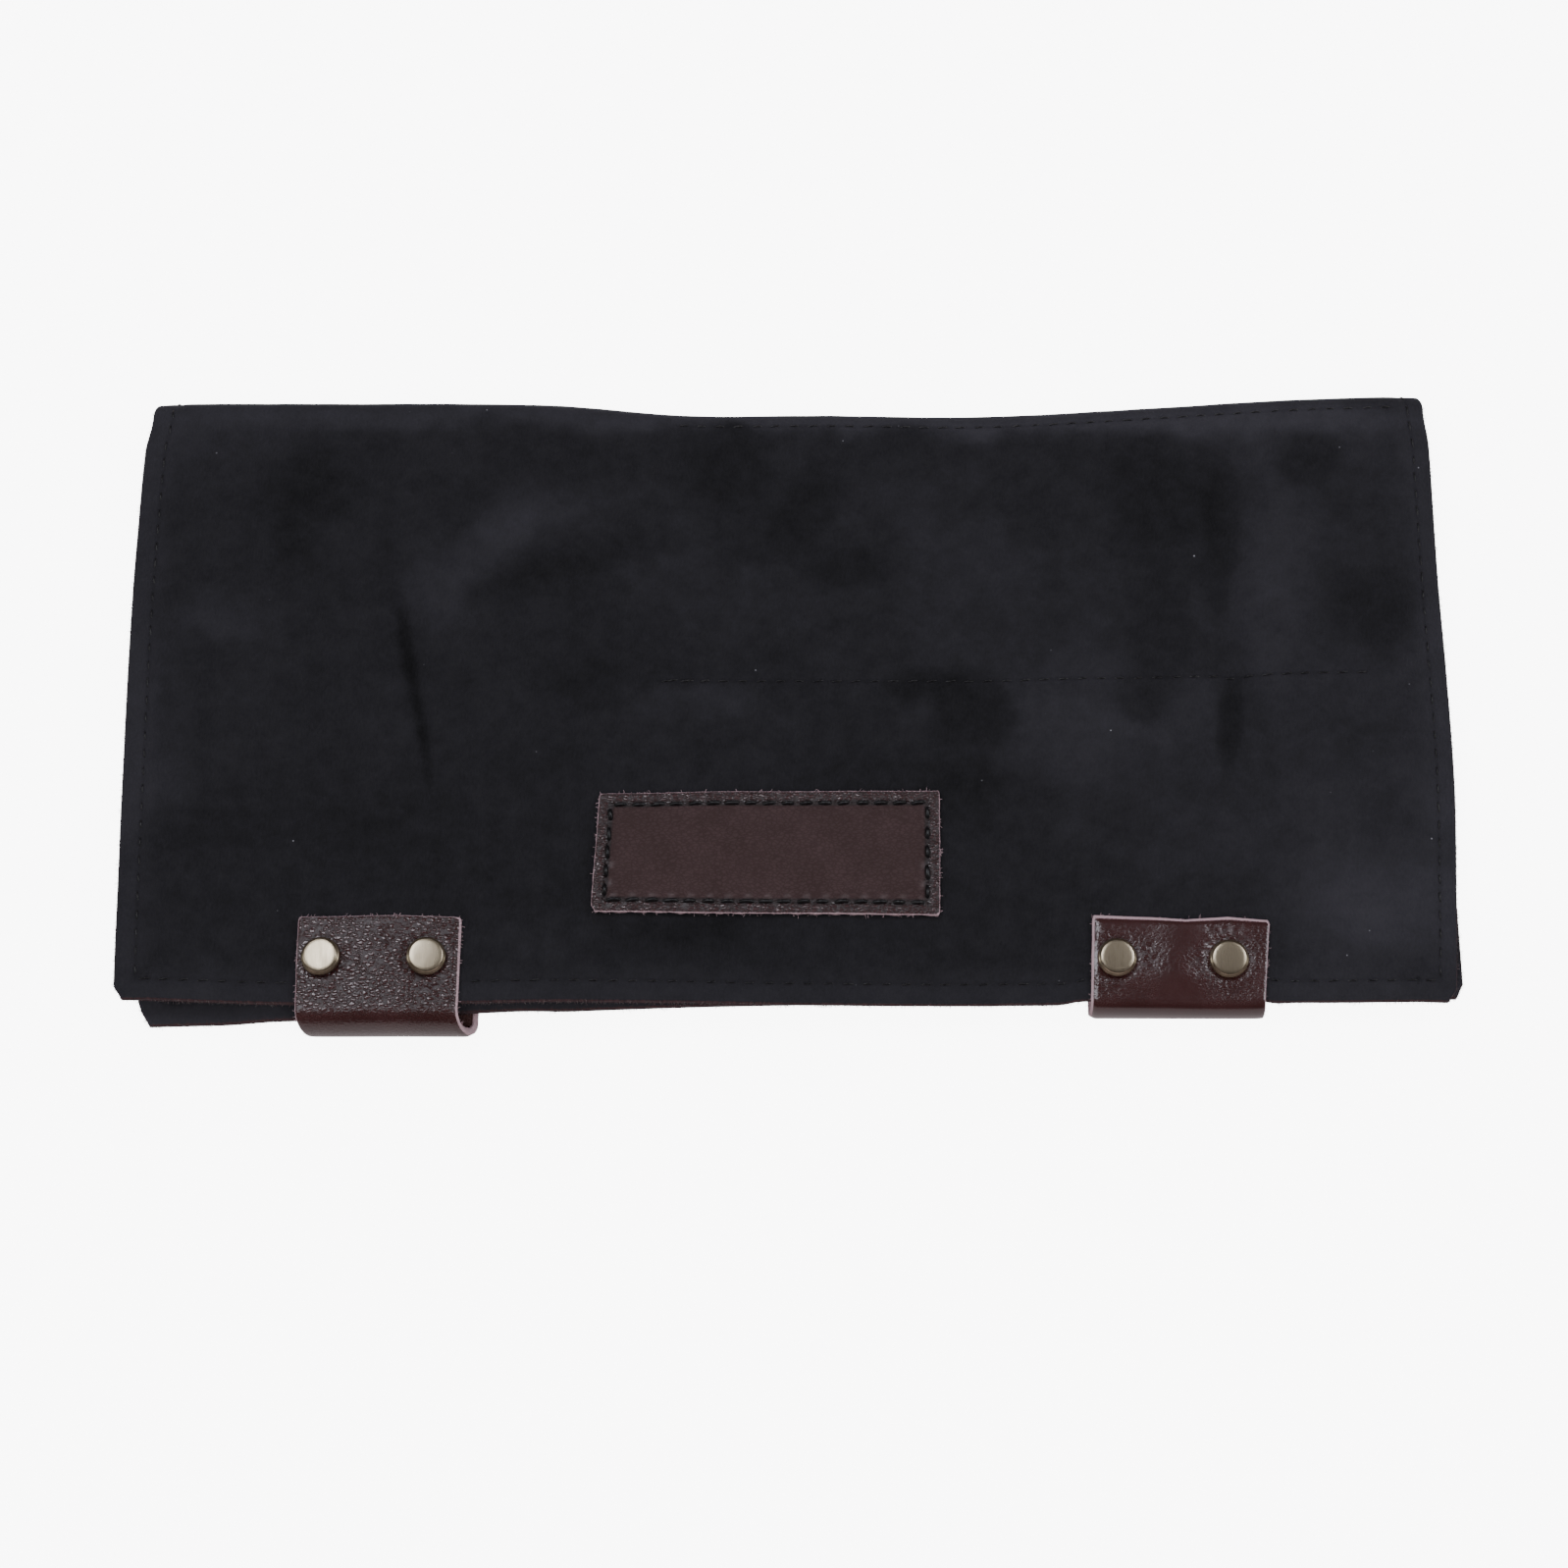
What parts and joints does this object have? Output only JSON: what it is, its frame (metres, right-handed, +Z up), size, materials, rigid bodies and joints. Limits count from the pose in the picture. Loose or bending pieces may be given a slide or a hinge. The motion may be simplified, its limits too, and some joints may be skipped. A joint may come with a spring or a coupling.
{
  "type": "scissor case",
  "caption": "Soft suede case folded over once, open at its sides and hem, closed by leather tabs that wrap the hem and fasten with press studs; bare leather patch on its flap.",
  "frame": {"origin": "middle of the bounding box's bottom, on the surface that the closed case lies on", "axes": "+X to the right along the case, +Y from the open hem to the fold, +Z up through the front flap"},
  "size_m": [0.3014, 0.1566, 0.0164],
  "materials": {
    "suede": "black suede with a short matt nap, reddish-brown fuzz on its cut edges",
    "tab_leather": "dark brown grained leather, semi-gloss, pale raw cut edges",
    "stud_brass": "brushed antique brass"
  },
  "bodies": {
    "root": {"case_body": "suede", "patch": "tab_leather", "tab_left": "tab_leather", "tab_right": "tab_leather", "snap_left_1": "stud_brass", "snap_left_2": "stud_brass", "snap_right_1": "stud_brass", "snap_right_2": "stud_brass"}
  },
  "joints": []
}
